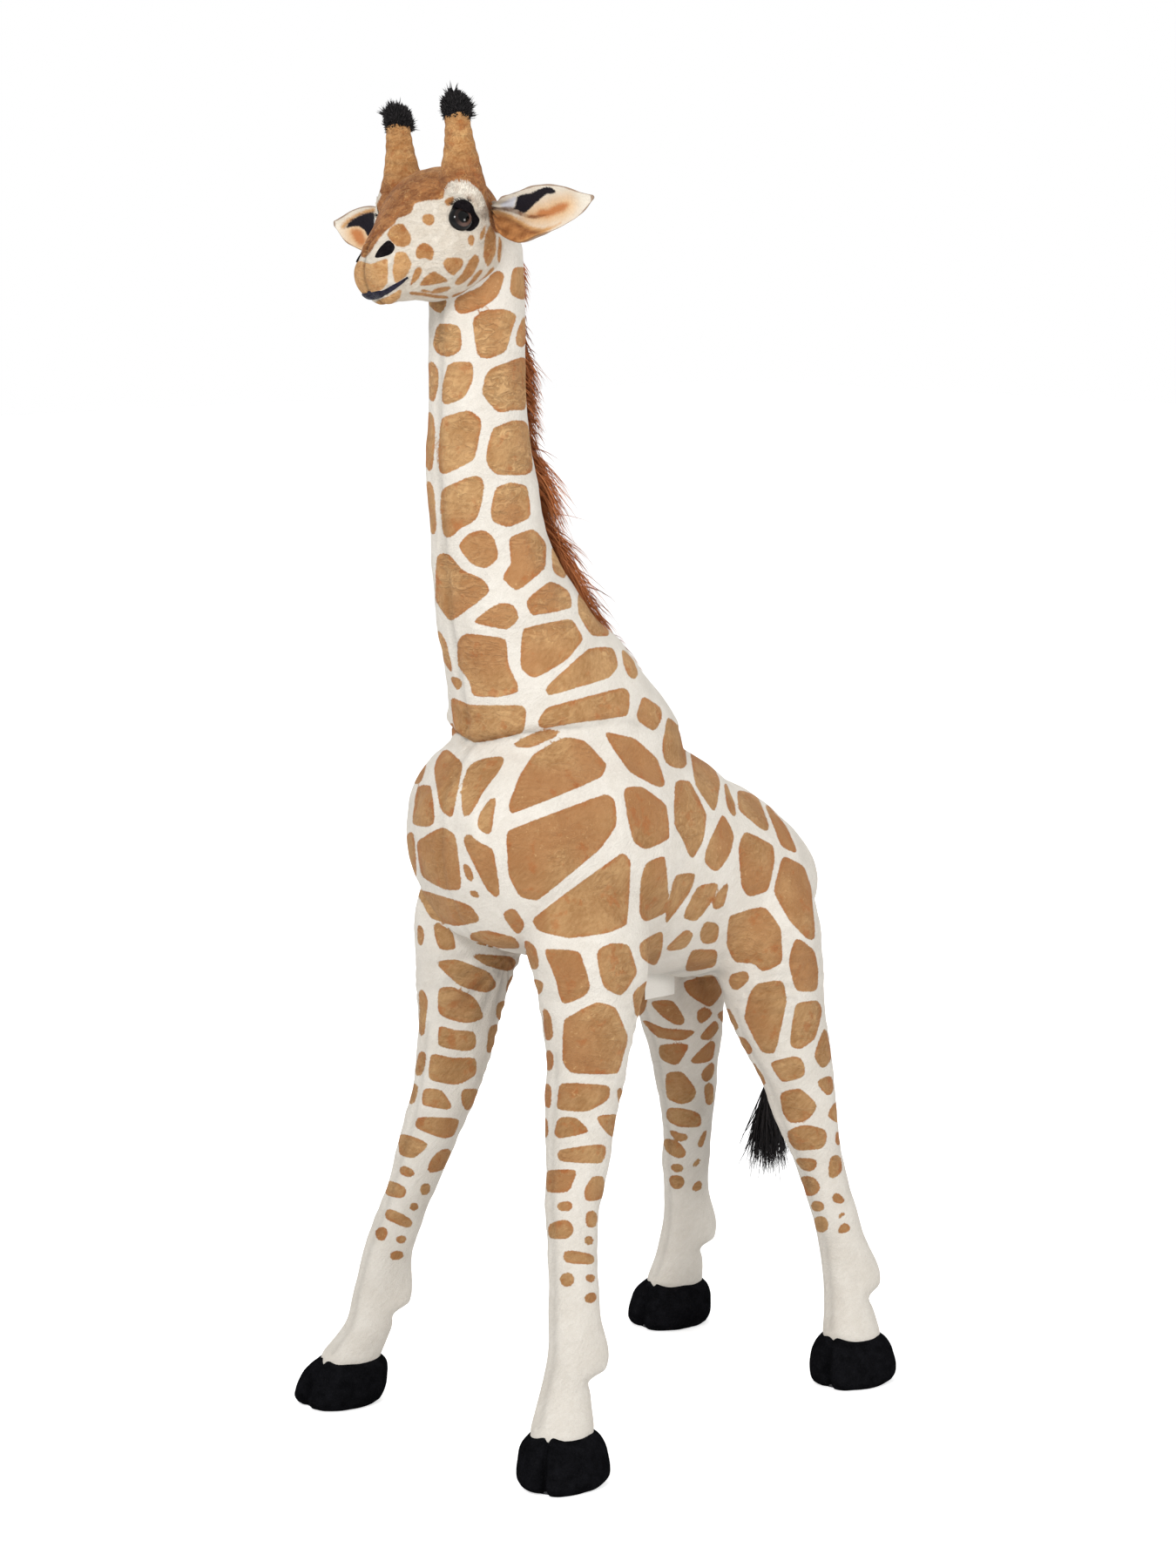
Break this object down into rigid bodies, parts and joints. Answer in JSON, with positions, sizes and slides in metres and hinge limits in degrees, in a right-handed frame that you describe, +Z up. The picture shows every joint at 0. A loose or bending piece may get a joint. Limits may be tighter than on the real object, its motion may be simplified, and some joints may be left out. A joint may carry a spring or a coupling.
{
  "type": "plush giraffe",
  "caption": "Large free-standing stuffed giraffe on a bent wire frame, with splayed legs, a nodding head, flopping leaf-shaped ears and a hanging tail",
  "frame": {"origin": "on the floor, under the middle of the bounding box", "axes": "+Z up, the giraffe faces -Y, its left side is +X"},
  "size_m": [0.4468, 0.6011, 1.4075],
  "materials": {
    "plush": "short-pile plush, cream with golden-brown patches",
    "crown_plush": "short-pile plush, brown",
    "black_velvet": "black velvet",
    "black_fur": "long black pile",
    "mane_hair": "long reddish-brown pile",
    "black_felt": "black felt",
    "eye_plastic": "polished dark brown",
    "white_plastic": "moulded, natural white",
    "sole_plastic": "stiff sheet, grey",
    "steel": "drawn wire",
    "label_tape": "woven tape, blank"
  },
  "bodies": {
    "trunk": {"torso": "plush", "neck": "plush", "mane": "mane_hair", "leg_front_left": "plush", "leg_front_right": "plush", "leg_rear_left": "plush", "leg_rear_right": "plush", "hoof_front_left": "black_velvet", "hoof_front_right": "black_velvet", "hoof_rear_left": "black_velvet", "hoof_rear_right": "black_velvet", "sole_plate_front_left": "sole_plastic", "sole_plate_front_right": "sole_plastic", "sole_plate_rear_left": "sole_plastic", "sole_plate_rear_right": "sole_plastic", "wire_cap_front_left": "white_plastic", "wire_cap_front_right": "white_plastic", "wire_cap_rear_left": "white_plastic", "wire_cap_rear_right": "white_plastic", "front_leg_wire": "steel", "rear_leg_wire": "steel", "spine_wire": "steel", "shoulder_clamp": "white_plastic", "hip_clamp": "white_plastic", "label": "label_tape"},
    "head": {"head": "plush", "horn_left": "crown_plush", "horn_right": "crown_plush", "horn_tuft_left": "black_fur", "horn_tuft_right": "black_fur", "eye_left": "eye_plastic", "eye_right": "eye_plastic", "eye_surround_left": "black_felt", "eye_surround_right": "black_felt", "eye_washer_left": "white_plastic", "eye_washer_right": "white_plastic", "nostril_left": "black_felt", "nostril_right": "black_felt", "lip_line": "black_felt"},
    "ear_left": {"ear_left": "plush"},
    "ear_right": {"ear_right": "plush"},
    "tail": {"tail_cord": "plush", "tail_tuft": "black_fur"}
  },
  "joints": [
    {"name": "head_nod", "type": "hinge", "parent": "trunk", "child": "head", "pos_m": [0, -0.17019, 1.23811], "axis": [0.9912, -0.0519, 0.1219], "range_deg": [-8, 8]},
    {"name": "ear_left_flop", "type": "hinge", "parent": "head", "child": "ear_left", "pos_m": [0.05431, -0.18706, 1.28971], "axis": [-0.0083, 0.9999, -0.0074], "range_deg": [-15, 16], "stiffness_Nm_per_rad": 0.15, "springref_deg": -1.43},
    {"name": "ear_right_flop", "type": "hinge", "parent": "head", "child": "ear_right", "pos_m": [-0.06661, -0.18072, 1.27484], "axis": [0.0083, -0.9999, 0.0074], "range_deg": [-15, 16], "stiffness_Nm_per_rad": 0.15, "springref_deg": -1.43},
    {"name": "tail_lift", "type": "hinge", "parent": "trunk", "child": "tail", "pos_m": [0, 0.24797, 0.62609], "axis": [1, 0, 0], "range_deg": [0, 60]}
  ]
}
